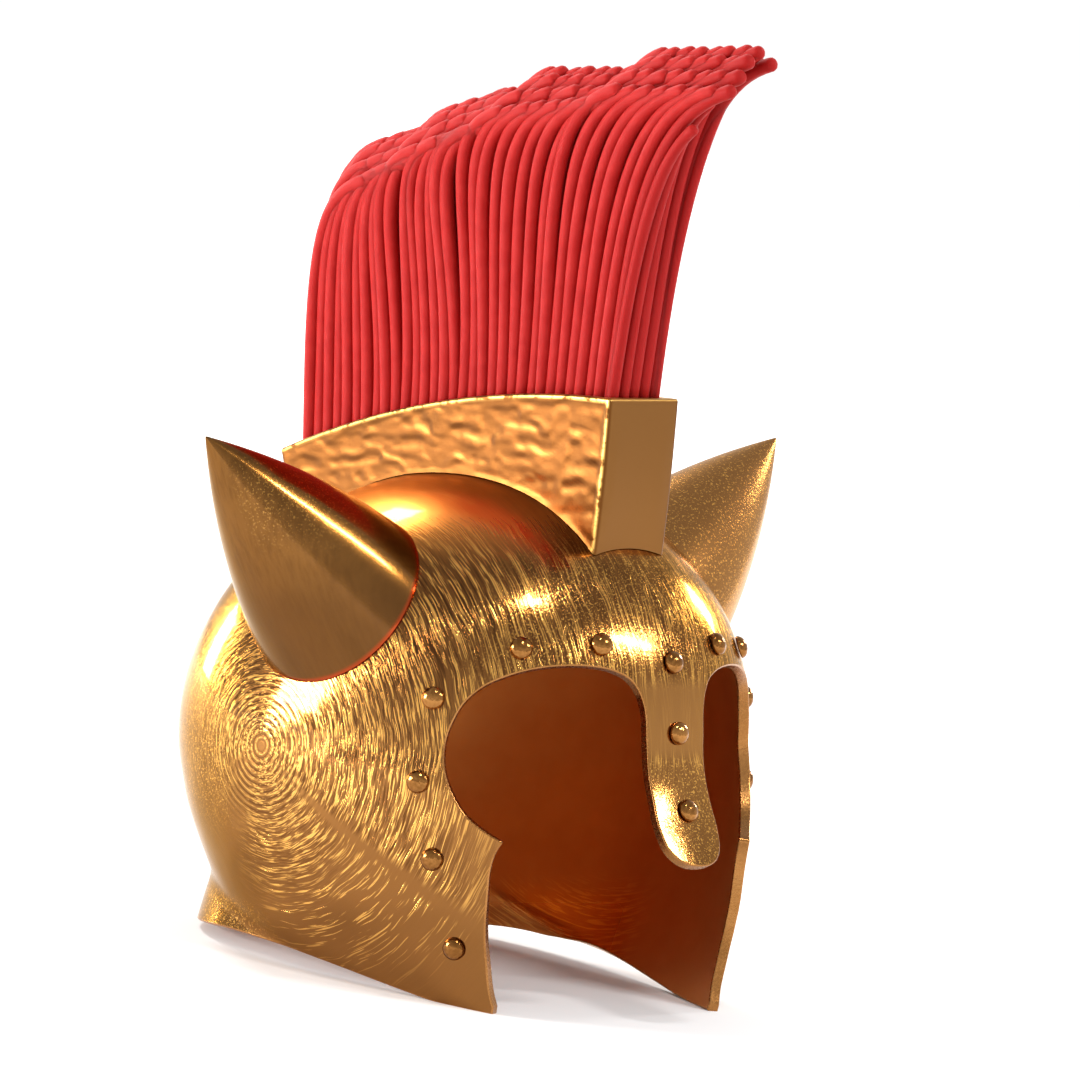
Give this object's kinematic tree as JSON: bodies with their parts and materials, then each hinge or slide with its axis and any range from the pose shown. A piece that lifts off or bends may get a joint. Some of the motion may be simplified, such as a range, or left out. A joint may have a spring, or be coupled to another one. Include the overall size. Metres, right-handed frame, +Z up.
{
  "type": "jousting helm",
  "caption": "Open-faced golden helm with a nasal bar, cheek guards, conical horns, a box crest and a tall red plume that curls forward.",
  "frame": {"origin": "centre of the bounding box's underside, on the floor that the helm stands on", "axes": "+Z up, -Y the way the face looks, +X the wearer's left"},
  "size_m": [0.367, 0.2964, 0.4478],
  "materials": {
    "shell_brass": "brushed gilt brass, streaks in circles about the ear axis",
    "horn_brass": "fine brushed gilt brass",
    "crest_brass": "hammered gilt brass on the sides, smooth at the front",
    "rivet_brass": "satin gilt brass",
    "plume_red": "matte thick red strands"
  },
  "bodies": {
    "root": {"shell": "shell_brass", "horn_right": "horn_brass", "horn_left": "horn_brass", "crest_box": "crest_brass", "plume": "plume_red", "rivet_brow_mid": "rivet_brass", "rivet_nasal_upper": "rivet_brass", "rivet_nasal_lower": "rivet_brass", "rivet_brow_inner_right": "rivet_brass", "rivet_brow_inner_left": "rivet_brass", "rivet_brow_outer_right": "rivet_brass", "rivet_brow_outer_left": "rivet_brass", "rivet_temple_right": "rivet_brass", "rivet_temple_left": "rivet_brass", "rivet_cheek_upper_right": "rivet_brass", "rivet_cheek_upper_left": "rivet_brass", "rivet_cheek_mid_right": "rivet_brass", "rivet_cheek_mid_left": "rivet_brass", "rivet_cheek_lower_right": "rivet_brass", "rivet_cheek_lower_left": "rivet_brass"}
  },
  "joints": []
}
